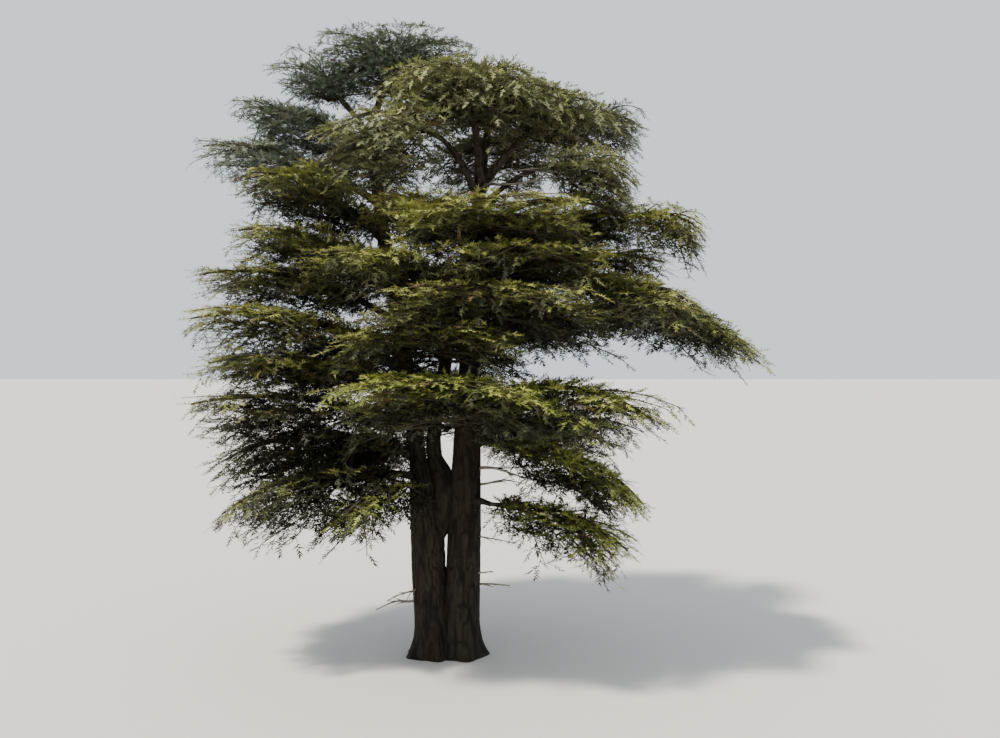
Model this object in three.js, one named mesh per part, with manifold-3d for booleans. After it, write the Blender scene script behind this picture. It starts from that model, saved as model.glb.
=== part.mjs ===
// An old cedar: one broad butt that forks into upright stems, long level boughs, and foliage
// in flat plates one above the other. Millimetres, z up, z = 0 where the butt meets the ground.
import * as THREE from "three";
import { mergeVertices } from "three/addons/utils/BufferGeometryUtils.js";
import Module from "manifold-3d";

const wasm = await Module();
wasm.setup();

// Driving dimensions. The tables below are in metres and degrees, as a tree is measured.
const METRE = 1000;
const CLEARANCE = 0.4; // left between any two pieces, millimetres
const FORK_CUT = 3.3 * METRE; // the butt ends here and the stems begin
const CROWN_BOX = 60 * METRE; // wider and taller than the whole tree
const MERGE_WITHIN = 0.01; // vertices closer than this are one vertex
const SMOOTHING = 6; // finer detail than this is smoothed away after a join
const SHORTEST = 0.1; // edges shorter than this are closed up after a cut
const SPACE = 15; // left between a blade and any other plate or limb

// Butt: the flare of the root collar, and its lobes.
const FLARE = 0.42; // share of the radius added at the ground
const FLARE_HEIGHT = 0.45 * METRE; // the flare dies away over this height
const FLARE_LOBES = 5;
const LOBE_DEPTH = 0.3; // share of the flare that the lobes take away or add

// How many sides and steps each kind of limb has.
const COLUMN_SIDES = 12;
const COLUMN_STEPS = { left: 14, right: 13, middle: 18 };
const MIDDLE_SIDES = 8;
const BOUGH_SIDES = 6;
const BOUGH_STEPS = 4;
const STUB_SIDES = 4;
const STUB_STEPS = 2;

// Stem of a foliage plate: three-sided, from the bough's tip or from inside the trunk.
const PLATE_STEM_SIDES = 3;
const PLATE_STEM_TIP = 0.03 * METRE; // radius at its end
const PLATE_STEM_LEAST = 0.05 * METRE; // radius at the trunk, before the reach adds to it
const PLATE_STEM_SHARE = 0.011; // radius added at the trunk for each metre of reach
const PLATE_STEM_SUNK = 0.2 * METRE; // how far it starts inside the bough, before the cut
const ON_TIP_SHARE = 0.95; // its radius on a bough's tip, per radius of the tip
const ROUND_LIFT = 0.3 * METRE; // a round plate's sheet lies this far over the tip

// Core of a plate: a flat lens with an uneven edge, fused round the stem.
const CORE_SIDES = 7;
const CORE_TOP = 0.3 * METRE; // above the sheet
const CORE_BOTTOM = 0.9 * METRE; // below it
const CORE_EDGE = 0.06 * METRE; // how far its edge lies below the sheet
const CORE_SHOULDER = 0.6; // where its top turns down, per half width
const CORE_SHOULDER_RISE = 0.85; // the height there, per height of its top
const CORE_LENGTH = 0.4; // half its length, per leafy length
const CORE_WIDTH = 0.6; // half its width, per half width of the plate
const CORE_ROUGH = [0.86, 0.26]; // least size of its edge, and the range over that

// Blades: sprays of needles with teeth, which stand out of the core all round.
const SUNK = 0.74; // a blade's root is this far out in the core, per half width
const SIDE_DROOP = 0.2; // how far the sides of a plate hang, per half width
const BLADE_THICK = 0.1; // half height of a blade's spine, per length
const BLADE_STATIONS = 2; // teeth on the fuller side of a blade
const TOOTH_REACH = 0.36; // sideways reach of a tooth, per blade length
const TOOTH_SIZE = [1.15, 0.75]; // of the first tooth, and how much it falls by the tip
const TOOTH_SWEEP = 0.13; // how far a tooth points forward, per blade length
const ANGLE_AT_ROOT = 76;
const ANGLE_AT_TIP = 34;
const ANGLE_RANGE = 14;
const LIFT_MIDDLE = 0.58; // more of the blades hang than rise
const LIFT_RANGE = 1.6 * METRE; // between the lowest and the highest blade tip
const ROLL_RANGE = 0.9;
const BLADE_SIZE = [0.85, 0.25]; // least width of the plate at a blade, and the range over that
const ROUND_SIZE = [0.86, 0.2]; // the same for a round plate

// Way points of the upright stems: x, y, z and radius, from the ground up.
const COLUMNS = {
  left: [
    [-0.5, 0, -0.1, 0.66],
    [-0.51, 0, 1, 0.62],
    [-0.63, 0, 2.8, 0.61],
    [-0.7, 0.02, 4.3, 0.59],
    [-0.86, 0.06, 5.7, 0.47],
    [-1.04, 0.14, 6.9, 0.31],
    [-1.42, 0.55, 9.6, 0.29],
    [-2.3, 1.5, 14.2, 0.26],
    [-3.05, 2.3, 19.2, 0.2],
  ],
  right: [
    [0.48, 0, -0.1, 0.67],
    [0.49, 0, 1, 0.63],
    [0.56, 0, 2.8, 0.61],
    [0.61, -0.02, 4.3, 0.59],
    [0.7, -0.1, 7.2, 0.49],
    [0.86, -0.2, 11, 0.36],
    [1.05, -0.32, 14.8, 0.25],
    [1.17, -0.4, 16.6, 0.2],
  ],
  middle: [
    [-0.5, 0.02, 4, 0.34],
    [-0.2, 0.04, 4.7, 0.4],
    [-0.13, 0.06, 5.5, 0.42],
    [-0.18, 0.1, 6.2, 0.41],
    [-0.45, 0.2, 6.9, 0.28],
    [-0.47, 0.36, 7.8, 0.26],
    [-0.18, 0.9, 9.8, 0.24],
    [0.45, 2, 13.6, 0.2],
    [1.2, 2.9, 17.6, 0.16],
    [1.5, 3.2, 20.2, 0.12],
  ],
};

// Bare boughs: name, the stem they leave, the height there, their heading (0 is right, 270 is
// the front), how far they run, rise and arch, and the radius at the root and the tip.
const BOUGHS = [
  ["bough_top_left", "right", 15.9, 214, 2, 2.1, 0.45, 0.13, 0.08],
  ["bough_top_middle", "right", 16.45, 262, 1.5, 2.45, 0.3, 0.15, 0.09],
  ["bough_top_right", "right", 16, 10, 2.5, 2.85, 0.4, 0.13, 0.08],
  ["bough_right_upper", "right", 15.5, 352, 2.4, 1.5, 0.25, 0.11, 0.07],
  ["bough_right_bare", "right", 14.9, 340, 5.4, 0.15, 0.75, 0.12, 0.06],
  ["bough_right_middle", "right", 12.8, 330, 3.8, 0, 0.5, 0.14, 0.08],
  ["bough_right_long", "right", 11.7, 358, 3.4, 0.35, 0.3, 0.17, 0.11],
  ["bough_right_low", "right", 7.2, 344, 1.2, 0.15, 0.2, 0.13, 0.1],
  ["bough_right_lowest", "right", 5.3, 324, 1.1, 0.05, 0.1, 0.12, 0.09],
  ["bough_left_top", "left", 18.95, 12, 0.9, 2.5, 0.1, 0.16, 0.1],
  ["bough_left_second", "left", 18.6, 184, 1.6, 1.9, 0.15, 0.13, 0.08],
  ["bough_rear_right", "middle", 17.2, 8, 3, 2.3, 0.3, 0.11, 0.07],
];

// Foliage plates: name, what carries them (a bough's tip, or a stem at the height that comes
// next), heading, reach, half width, share of the reach without foliage, rise, droop and the
// number of side blades. A round plate spreads all round its bough's tip.
const PLATES = [
  ["foliage_top", "bough_left_top", 0, 184, 3.1, 2.3, 0, 0.7, 0.6, 8, "round"],
  ["foliage_top_left", "bough_left_second", 0, 184, 2.3, 1.8, 0, 0.45, 0.3, 7, "round"],
  ["foliage_shoulder_left", "left", 18, 180, 5, 2, 0.14, 2, 0.3, 7],
  ["foliage_shoulder_far_left", "left", 16.1, 184, 6.4, 2, 0.18, 2.3, 0.25, 7],
  ["foliage_rear_top", "middle", 20, 10, 2.7, 2.3, 0, 0.8, 0.8, 8, "round"],
  ["foliage_rear_right", "bough_rear_right", 0, 356, 3.1, 2, 0.02, 0.6, 0.8, 6],
  ["foliage_front_crown", "bough_top_middle", 0, 182, 3.3, 2.7, 0, 0.95, 1.6, 9, "round"],
  ["foliage_front_arm", "bough_top_left", 0, 226, 3.2, 2.2, 0.02, 0.5, 0.7, 7],
  ["foliage_right_crown", "bough_top_right", 0, 6, 2.5, 2.3, 0, 0.6, 1.3, 8, "round"],
  ["foliage_right_crown_lower", "bough_right_upper", 0, 352, 3, 2, 0.02, 0.35, 1.1, 7],
  ["foliage_left_gold", "left", 14.6, 216, 5.1, 2.2, 0.12, 2.4, 0.4, 7],
  ["foliage_left_upper", "left", 13.1, 207, 5.5, 2.5, 0.1, 2, 0.4, 7],
  ["foliage_left_reach", "left", 11.7, 190, 6.9, 2.2, 0.18, 2.1, 0.5, 7],
  ["foliage_front_left", "right", 12.5, 220, 6, 2.4, 0.16, 1.4, 0.3, 7],
  ["foliage_left_middle", "left", 10.5, 196, 7.3, 2.4, 0.14, 1.8, 0.6, 7],
  ["foliage_left_lower", "left", 9.1, 186, 7, 2.5, 0.14, 1.7, 0.6, 7],
  ["foliage_front_left_upper", "right", 15, 206, 4, 2, 0.12, 0.9, 0.4, 7],
  ["foliage_front_upper", "right", 14.1, 282, 4.8, 3.1, 0.12, 1.4, 0.3, 7],
  ["foliage_front_middle", "right", 11.3, 277, 5.7, 3.6, 0.12, 1.4, 0.3, 8],
  ["foliage_front_lower", "right", 10.2, 254, 5.4, 3, 0.12, 1.35, 0.3, 7],
  ["foliage_right_upper_tip", "bough_right_bare", 0, 352, 2.3, 1.8, 0.02, 0.15, 0.7, 6],
  ["foliage_right_upper", "middle", 14, 346, 7, 2.5, 0.18, 1.9, 0.5, 7],
  ["foliage_right_middle", "right", 12.9, 6, 6.8, 2.2, 0.18, 1.5, 0.6, 7],
  ["foliage_right_front", "bough_right_middle", 0, 338, 4.2, 2.6, 0.02, 0.1, 1, 7],
  ["foliage_right_long", "bough_right_long", 0, 358, 6.3, 2.6, 0.02, 0.45, 1.9, 8],
  ["foliage_front_low", "right", 8.5, 262, 6.4, 3.4, 0.16, 1.35, 0.25, 8],
  ["foliage_front_right_low", "right", 8.6, 322, 7.2, 2.6, 0.2, 1.3, 1.4, 7],
  ["foliage_left_low", "left", 7.9, 190, 7.6, 2.4, 0.12, 1.5, 0.6, 7],
  ["foliage_left_low_under", "left", 6.9, 178, 7, 2.2, 0.12, 1.2, 1.4, 7],
  ["foliage_left_lowest", "left", 6.2, 204, 6.8, 1.9, 0.16, 0.7, 1.6, 7],
  ["foliage_left_hanging", "left", 5.9, 232, 4.1, 1.5, 0.18, 0.3, 1.3, 6],
  ["foliage_right_low", "bough_right_low", 0, 350, 4.9, 2.2, 0.02, 0, 1.9, 7],
  ["foliage_right_lowest", "bough_right_lowest", 0, 340, 4.8, 2, 0.02, 0.1, 1.4, 7],
  ["foliage_rear_left_top", "left", 17.6, 112, 4.6, 2.6, 0.12, 1.6, 0.5, 6],
  ["foliage_rear_upper", "middle", 18.6, 84, 4.4, 2.9, 0.1, 1.1, 0.4, 7],
  ["foliage_rear_right_upper", "middle", 14.9, 34, 5.4, 2.5, 0.14, 1.4, 0.6, 7],
  ["foliage_rear_left_middle", "left", 13.6, 122, 5.7, 2.9, 0.12, 1.3, 0.5, 7],
  ["foliage_rear_middle", "middle", 12.7, 80, 5.6, 3, 0.12, 1.3, 0.5, 7],
  ["foliage_rear_right_middle", "middle", 10.9, 38, 7, 2.8, 0.14, 1.4, 0.7, 7],
  ["foliage_rear_left_low", "left", 10, 138, 6.6, 2.8, 0.14, 1.2, 0.6, 7],
  ["foliage_rear_low", "middle", 8.9, 92, 6.4, 3.1, 0.14, 1.2, 0.6, 7],
  ["foliage_rear_right_low", "right", 7.4, 44, 6.6, 2.7, 0.16, 1.1, 0.9, 7],
  ["foliage_rear_left_lowest", "left", 6.7, 130, 5.8, 2.4, 0.26, 0.9, 1, 6],
  ["foliage_front_second", "right", 12.7, 291, 5.2, 2.9, 0.1, 1.35, 0.35, 7],
];

// Dead stubs low on the butt: stem, height, heading, run, rise, radius at the root and tip.
const DEAD_STUBS = [
  ["left", 2.1, 200, 1.9, -0.35, 0.06, 0.02],
  ["right", 2.35, 350, 1.7, 0.1, 0.055, 0.02],
  ["right", 2.75, 328, 1.3, 0.3, 0.045, 0.018],
];

const BARK = new THREE.MeshStandardMaterial({ color: 0x3b302a, roughness: 0.95, metalness: 0 });
const GREENS = [0x5d6b2a, 0x4b5c27, 0x6f7431, 0x43532b, 0x556a2c].map(
  (color) => new THREE.MeshStandardMaterial({ color, roughness: 0.85, metalness: 0 }),
);

const UP = new THREE.Vector3(0, 0, 1);

// A repeatable row of numbers from 0 to 1 for each plate.
function seeded(seed) {
  let state = seed * 7919 + 13;
  return () => {
    state = (state + 0x6d2b79f5) | 0;
    let mixed = Math.imul(state ^ (state >>> 15), 1 | state);
    mixed = (mixed + Math.imul(mixed ^ (mixed >>> 7), 61 | mixed)) ^ mixed;
    return ((mixed ^ (mixed >>> 14)) >>> 0) / 4294967296;
  };
}

// A closed geometry as a solid that can be joined and cut.
function solidOf(geometry) {
  const plain = geometry.index ? geometry.toNonIndexed() : geometry.clone();
  plain.deleteAttribute("normal");
  plain.deleteAttribute("uv");
  const merged = mergeVertices(plain, MERGE_WITHIN);
  return new wasm.Manifold(
    new wasm.Mesh({
      numProp: 3,
      vertProperties: merged.attributes.position.array,
      triVerts: new Uint32Array(merged.index.array),
    }),
  );
}

// The largest piece of a solid. Loose scraps are dropped and sealed hollows are filled.
function largest(solid) {
  const pieces = solid.decompose();
  return pieces.reduce((best, piece) => (piece.volume() > best.volume() ? piece : best));
}

// The path of a limb: a smooth curve through its way points, with the radius on the way.
function pathOf(way) {
  const curve = new THREE.CatmullRomCurve3(
    way.map(([x, y, z]) => new THREE.Vector3(x, y, z).multiplyScalar(METRE)),
    false,
    "centripetal",
  );
  const radius = (t) => {
    const place = Math.min(t * (way.length - 1), way.length - 1.000001);
    const i = Math.floor(place);
    return THREE.MathUtils.lerp(way[i][3], way[i + 1][3], place - i) * METRE;
  };
  return { curve, radius };
}

// The height z, in metres, on an upright path: its share of the way up.
function shareAtHeight(path, z) {
  let low = 0;
  let high = 1;
  for (let i = 0; i < 40; i++) {
    const half = (low + high) / 2;
    if (path.curve.getPoint(half).z < z * METRE) low = half;
    else high = half;
  }
  return low;
}

// A cylinder bent along a path. grow makes it that much larger on every side, and swell
// multiplies the radius by a function of height and angle.
function limb(path, sides, steps, grow = 0, swell = () => 1) {
  const frames = [];
  let normal = new THREE.Vector3(1, 0, 0);
  for (let k = 0; k <= steps; k++) {
    const t = k / steps;
    const tangent = path.curve.getTangent(t);
    if (k === 0 && Math.abs(tangent.x) > 0.8) normal = new THREE.Vector3(0, 0, 1);
    normal = normal.clone().addScaledVector(tangent, -normal.dot(tangent)).normalize();
    const centre = path.curve.getPoint(t);
    if (k === 0) centre.addScaledVector(tangent, -grow);
    if (k === steps) centre.addScaledVector(tangent, grow);
    frames.push({ centre, normal, side: normal.clone().cross(tangent), radius: path.radius(t) + grow });
  }
  const geometry = new THREE.CylinderGeometry(1, 1, 1, sides, steps);
  const position = geometry.attributes.position;
  for (let i = 0; i < position.count; i++) {
    const frame = frames[Math.round((position.getY(i) + 0.5) * steps)];
    const across = position.getX(i);
    const over = position.getZ(i);
    const wide = frame.radius * swell(frame.centre.z, Math.atan2(over, across));
    const point = frame.centre
      .clone()
      .addScaledVector(frame.normal, across * wide)
      .addScaledVector(frame.side, over * wide);
    position.setXYZ(i, point.x, point.y, point.z);
  }
  return solidOf(geometry);
}

// A flat slab of space between two heights, which cuts limbs level.
function slab(low, high) {
  const box = new THREE.BoxGeometry(CROWN_BOX, CROWN_BOX, high - low);
  box.translate(0, 0, (low + high) / 2);
  return solidOf(box);
}

// The root collar: lobes that widen toward the ground.
function flare(height, angle) {
  const down = Math.exp(-Math.max(height, 0) / FLARE_HEIGHT);
  return 1 + FLARE * down * (1 + LOBE_DEPTH * Math.cos(FLARE_LOBES * angle));
}

// Way points of a bough that leaves a path at a height: it runs level, rises and arches.
function boughWay(path, spec) {
  const start = path.curve.getPoint(shareAtHeight(path, spec.z)).divideScalar(METRE);
  const heading = THREE.MathUtils.degToRad(spec.heading);
  return [0, 1 / 3, 2 / 3, 1].map((share) => [
    start.x + Math.cos(heading) * spec.run * share,
    start.y + Math.sin(heading) * spec.run * share,
    start.z + spec.rise * share + spec.arch * Math.sin(Math.PI * share),
    THREE.MathUtils.lerp(spec.root, spec.tip, share),
  ]);
}

// The curved sheet that a plate's twigs and needles lie on: a point from the distance along
// the heading, the distance across and the lift off the sheet, all in millimetres.
function sheetOf(spec, origin) {
  const heading = THREE.MathUtils.degToRad(spec.heading);
  const along = new THREE.Vector3(Math.cos(heading), Math.sin(heading), 0);
  const across = new THREE.Vector3(-Math.sin(heading), Math.cos(heading), 0);
  const sizes = [spec.reach, spec.half, spec.rise, spec.droop];
  const [reach, half, rise, droop] = sizes.map((size) => size * METRE);
  return (u, v, lift = 0) => {
    const out = spec.round ? Math.hypot(u / reach, v / half) : Math.max(u / reach, 0);
    const held = Math.min(out, 1);
    const side = spec.round ? 0 : SIDE_DROOP * half * (v / half) ** 2;
    const height = rise * (1 - (1 - held) ** 2) - droop * out ** 3 - side + lift;
    return origin.clone().addScaledVector(along, u).addScaledVector(across, v).addScaledVector(UP, height);
  };
}

// A closed body from its corners and triangles.
function body(corners, faces) {
  const geometry = new THREE.BufferGeometry().setFromPoints(corners);
  geometry.setIndex(faces.flat());
  return solidOf(geometry);
}

// A toothed blade of needles: a spine that is thick in the middle and ends in a point both
// ways, with teeth that stand out forward on alternate sides.
function blade(sheet, from, to, lift, roll) {
  const run = [to[0] - from[0], to[1] - from[1]];
  const length = Math.hypot(...run);
  const left = [-run[1] / length, run[0] / length];
  const last = 2 * BLADE_STATIONS;
  const on = (share, sideways, up) =>
    sheet(
      from[0] + run[0] * share + left[0] * sideways,
      from[1] + run[1] * share + left[1] * sideways,
      lift * share + roll * sideways + up,
    );
  const corners = [on(0, 0, 0), on(1, 0, 0)];
  const top = [0];
  const bottom = [0];
  for (let k = 1; k < last; k++) {
    const share = k / last;
    const thick = BLADE_THICK * length * Math.sin(Math.PI * share ** 0.7);
    top.push(corners.push(on(share, 0, thick)) - 1);
    bottom.push(corners.push(on(share, 0, -thick)) - 1);
  }
  top.push(1);
  bottom.push(1);
  const faces = [];
  const tooth = (k, side) => {
    const share = (k + 1) / last;
    const reach = side * TOOTH_REACH * length * (TOOTH_SIZE[0] - share * TOOTH_SIZE[1]);
    const tip = corners.push(on(share + TOOTH_SWEEP, reach, 0)) - 1;
    const add = (a, b, c) => faces.push(side > 0 ? [a, b, c] : [a, c, b]);
    for (const j of [k, k + 1]) {
      add(top[j], top[j + 1], tip);
      add(bottom[j + 1], bottom[j], tip);
    }
    if (top[k] !== bottom[k]) add(bottom[k], top[k], tip);
    if (top[k + 2] !== bottom[k + 2]) add(top[k + 2], bottom[k + 2], tip);
  };
  for (let k = 0; k < last; k += 2) tooth(k, 1);
  for (let k = 1; k < last - 1; k += 2) tooth(k, -1);
  faces.push([top[0], bottom[1], top[1]], [top[last - 1], bottom[last - 1], top[last]]);
  return body(corners, faces);
}

// The dense middle of a plate: a flat lens with an uneven edge.
function core(sheet, { middle, long, wide }, random) {
  const corners = [sheet(middle, 0, CORE_TOP), sheet(middle, 0, -CORE_BOTTOM)];
  for (let i = 0; i < CORE_SIDES; i++) {
    const turn = (2 * Math.PI * i) / CORE_SIDES;
    const rough = CORE_ROUGH[0] + CORE_ROUGH[1] * random();
    const u = Math.cos(turn) * rough * long;
    const v = Math.sin(turn) * rough * wide;
    corners.push(sheet(middle + u, v, -CORE_EDGE));
    corners.push(sheet(middle + CORE_SHOULDER * u, CORE_SHOULDER * v, CORE_TOP * CORE_SHOULDER_RISE));
  }
  const faces = [];
  for (let i = 0; i < CORE_SIDES; i++) {
    const edge = 2 + 2 * i;
    const next = 2 + 2 * ((i + 1) % CORE_SIDES);
    faces.push([0, edge + 1, next + 1], [edge, next, next + 1], [edge, next + 1, edge + 1], [1, next, edge]);
  }
  return body(corners, faces);
}

// The part of a twig that stands out of the core, with its root sunk in the core's edge.
function outOfCore({ middle, long, wide }, { from, to, ...rest }) {
  const start = [(from[0] - middle) / long, from[1] / wide];
  const run = [(to[0] - from[0]) / long, (to[1] - from[1]) / wide];
  const a = run[0] ** 2 + run[1] ** 2;
  const b = start[0] * run[0] + start[1] * run[1];
  const c = start[0] ** 2 + start[1] ** 2 - SUNK ** 2;
  const inside = b * b - a * c;
  const share = inside > 0 ? Math.max((-b + Math.sqrt(inside)) / a, 0) : 0;
  return { from: [from[0] + (to[0] - from[0]) * share, from[1] + (to[1] - from[1]) * share], to, ...rest };
}

// Where the side twigs of a plate leave its stem and end, in its sheet's own millimetres.
function twigsOf(spec, random) {
  const [reach, half] = [spec.reach * METRE, spec.half * METRE];
  const twigs = [];
  for (let i = 0; i < spec.blades; i++) {
    const [place, bend, size, lift, roll] = [random(), random(), random(), random(), random()];
    const shared = { lift: (lift - LIFT_MIDDLE) * LIFT_RANGE, roll: (roll - 0.5) * ROLL_RANGE };
    if (spec.round) {
      const turn = (2 * Math.PI * (i + 0.5 * (place - 0.5))) / spec.blades;
      const long = ROUND_SIZE[0] + ROUND_SIZE[1] * size;
      const to = [Math.cos(turn) * reach * long, Math.sin(turn) * half * long];
      twigs.push({ from: [to[0] * 0.04, to[1] * 0.04], to, ...shared });
      continue;
    }
    const share = (i + 0.5 * place) / (spec.blades + 0.4);
    const side = i % 2 ? 1 : -1;
    const angle = THREE.MathUtils.degToRad(
      THREE.MathUtils.lerp(ANGLE_AT_ROOT, ANGLE_AT_TIP, share) + ANGLE_RANGE * (bend - 0.5),
    );
    const start = reach * (spec.bare + 0.04 + (0.9 - spec.bare) * share);
    const outline = Math.sin(Math.PI * (0.2 + 0.68 * share)) ** 0.7;
    const wide = half * outline * (BLADE_SIZE[0] + BLADE_SIZE[1] * size);
    const end = Math.min(start + wide / Math.tan(angle), reach * 0.98);
    twigs.push({ from: [start, 0], to: [end, side * wide], ...shared });
  }
  if (!spec.round) twigs.push({ from: [reach * 0.5, 0], to: [reach, 0], lift: 0, roll: 0 });
  return twigs;
}

// The mesh of a solid in which the two ends of each very short edge have become one corner.
function cleanMesh(solid) {
  const { vertProperties, triVerts } = solid.getMesh();
  const corner = (i) => new THREE.Vector3().fromArray(vertProperties, 3 * i);
  const joined = Array.from(vertProperties, (_, i) => i).slice(0, vertProperties.length / 3);
  const kept = (i) => (joined[i] === i ? i : kept(joined[i]));
  for (let i = 0; i < triVerts.length; i++) {
    const [a, b] = [kept(triVerts[i]), kept(triVerts[i % 3 === 2 ? i - 2 : i + 1])];
    if (a !== b && corner(a).distanceTo(corner(b)) < SHORTEST) joined[Math.max(a, b)] = Math.min(a, b);
  }
  const triangles = [];
  for (let i = 0; i < triVerts.length; i += 3) {
    const [a, b, c] = [0, 1, 2].map((j) => kept(triVerts[i + j]));
    if (a !== b && b !== c && c !== a) triangles.push(a, b, c);
  }
  const geometry = new THREE.BufferGeometry();
  geometry.setAttribute("position", new THREE.BufferAttribute(new Float32Array(vertProperties), 3));
  geometry.setIndex(triangles);
  return geometry;
}

// Whether two boxes come near each other.
function boxesMeet(a, b) {
  return [0, 1, 2].every((i) => a.min[i] - SPACE < b.max[i] && b.min[i] - SPACE < a.max[i]);
}

// Whether a piece comes too near any of the solids.
function touches(piece, solids) {
  const box = piece.boundingBox();
  const near = solids.filter((solid) => boxesMeet(box, solid.boundingBox()));
  return near.some((solid) => piece.minGap(solid, SPACE + 1) < SPACE);
}

// A piece with every cutter near it taken away.
function cutClear(piece, cutters) {
  const box = piece.boundingBox();
  const near = cutters.filter((by) => boxesMeet(box, by.boundingBox()));
  return largest(near.reduce((kept, by) => kept.subtract(by), piece));
}

const nodes = new Map();

// The butt and the stems: whole columns, cut level at the ground and just above the fork.
const paths = {};
for (const [name, way] of Object.entries(COLUMNS)) paths[name] = pathOf(way);
const column = (name, grow) =>
  name === "middle"
    ? limb(paths[name], MIDDLE_SIDES, COLUMN_STEPS[name], grow)
    : limb(paths[name], COLUMN_SIDES, COLUMN_STEPS[name], grow, flare);
const left = column("left", 0);
const right = column("right", 0);
const stubs = DEAD_STUBS.map(([on, z, heading, run, rise, root, tip]) => {
  const way = boughWay(paths[on], { z, heading, run, rise, arch: 0, root, tip });
  return limb(pathOf(way), STUB_SIDES, STUB_STEPS);
});
const butt = wasm.Manifold.union([left, right, ...stubs]).intersect(slab(0, FORK_CUT));
const aboveFork = slab(FORK_CUT + CLEARANCE, CROWN_BOX);
const columnCutters = ["left", "right"].map((name) => column(name, CLEARANCE));
const middle = cutClear(column("middle", 0), columnCutters);
nodes.set("trunk", { solid: butt, material: BARK });
nodes.set("left_stem", { solid: left.intersect(aboveFork), material: BARK });
nodes.set("right_stem", { solid: right.intersect(aboveFork), material: BARK });
nodes.set("middle_stem", { solid: middle, material: BARK });
columnCutters.push(column("middle", CLEARANCE));

// The boughs: each is cut clear of the stem it leaves.
const tips = {};
const cutters = [...columnCutters];
for (const [name, on, z, heading, run, rise, arch, root, tip] of BOUGHS) {
  const path = pathOf(boughWay(paths[on], { z, heading, run, rise, arch, root, tip }));
  const made = cutClear(limb(path, BOUGH_SIDES, BOUGH_STEPS), columnCutters);
  nodes.set(name, { solid: made, material: BARK });
  cutters.push(limb(path, BOUGH_SIDES, BOUGH_STEPS, CLEARANCE));
  tips[name] = { point: path.curve.getPoint(1), tangent: path.curve.getTangent(1), radius: tip * METRE };
}

// The stem of a plate: it starts inside its bough or trunk, to be cut clear of it.
function plateStem(spec, sheet, root, tip) {
  const reach = spec.reach * METRE;
  const start = root.clone().addScaledVector(tip ? tip.tangent : UP, -PLATE_STEM_SUNK);
  const radius = tip ? tip.radius * ON_TIP_SHARE : PLATE_STEM_LEAST + PLATE_STEM_SHARE * reach;
  const level = [0, 0.2, 0.45, 0.7, 0.9].map((share) => sheet(reach * share, 0));
  let way = tip ? [start, ...level] : level;
  if (spec.round) way = [start, root, sheet(0, 0, CORE_EDGE)];
  const points = way.map((point, i) => {
    const wide = THREE.MathUtils.lerp(radius, PLATE_STEM_TIP, i / (way.length - 1));
    return [point.x, point.y, point.z, wide].map((size) => size / METRE);
  });
  return limb(pathOf(points), PLATE_STEM_SIDES, way.length);
}

// First every plate's stem and core, so that no blade is grown through them.
const plates = PLATES.map((row, index) => {
  const [name, on, z, heading, reach, half, bare, rise, droop, blades, shape] = row;
  const spec = { on, z, heading, reach, half, bare, rise, droop, blades, round: shape === "round" };
  const random = seeded(index + 1);
  const tip = tips[spec.on];
  const root = tip ? tip.point : paths[spec.on].curve.getPoint(shareAtHeight(paths[spec.on], spec.z));
  const origin = root.clone();
  if (spec.round) origin.addScaledVector(UP, ROUND_LIFT);
  const sheet = sheetOf(spec, origin);
  const lens = {
    middle: spec.round ? 0 : reach * METRE * (bare + (1 - bare) * 0.5),
    long: reach * METRE * (spec.round ? CORE_WIDTH : (1 - bare) * CORE_LENGTH),
    wide: half * METRE * CORE_WIDTH,
  };
  const stem = plateStem(spec, sheet, root, tip);
  const dense = cutClear(core(sheet, lens, random), cutters);
  const twigs = twigsOf(spec, random).map((twig) => outOfCore(lens, twig));
  return { name, index, sheet, stem, dense, twigs, solid: cutClear(stem, cutters) };
});
for (const plate of plates) {
  const others = plates.filter((other) => other !== plate).map((other) => other.solid);
  plate.pieces = touches(plate.dense, others) ? [plate.stem] : [plate.stem, plate.dense];
  plate.solid = cutClear(wasm.Manifold.union(plate.pieces), cutters);
}

// Then the blades: one that would touch a limb or another plate is left out.
const limbs = [...nodes.values()].map((node) => node.solid);
for (const plate of plates) {
  const others = [...limbs, ...plates.filter((other) => other !== plate).map((other) => other.solid)];
  const blades = plate.twigs
    .map(({ from, to, lift, roll }) => blade(plate.sheet, from, to, lift, roll))
    .filter((grown) => !touches(grown, others));
  const fused = largest(wasm.Manifold.union([...plate.pieces, ...blades])).simplify(SMOOTHING);
  plate.solid = cutClear(fused, cutters);
  nodes.set(plate.name, { solid: plate.solid, material: GREENS[plate.index % GREENS.length] });
}

// The tree: a group for the wood and a group for the foliage, each mesh a named piece.
const tree = new THREE.Group();
const wood = new THREE.Group();
const foliage = new THREE.Group();
tree.name = "cedar_tree";
wood.name = "wood";
foliage.name = "foliage";
tree.add(wood, foliage);
for (const [name, { solid, material }] of nodes) {
  const geometry = cleanMesh(solid);
  geometry.computeVertexNormals();
  const made = new THREE.Mesh(geometry, material);
  made.name = name;
  (material === BARK ? wood : foliage).add(made);
}

export default tree;
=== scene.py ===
import math

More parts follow.
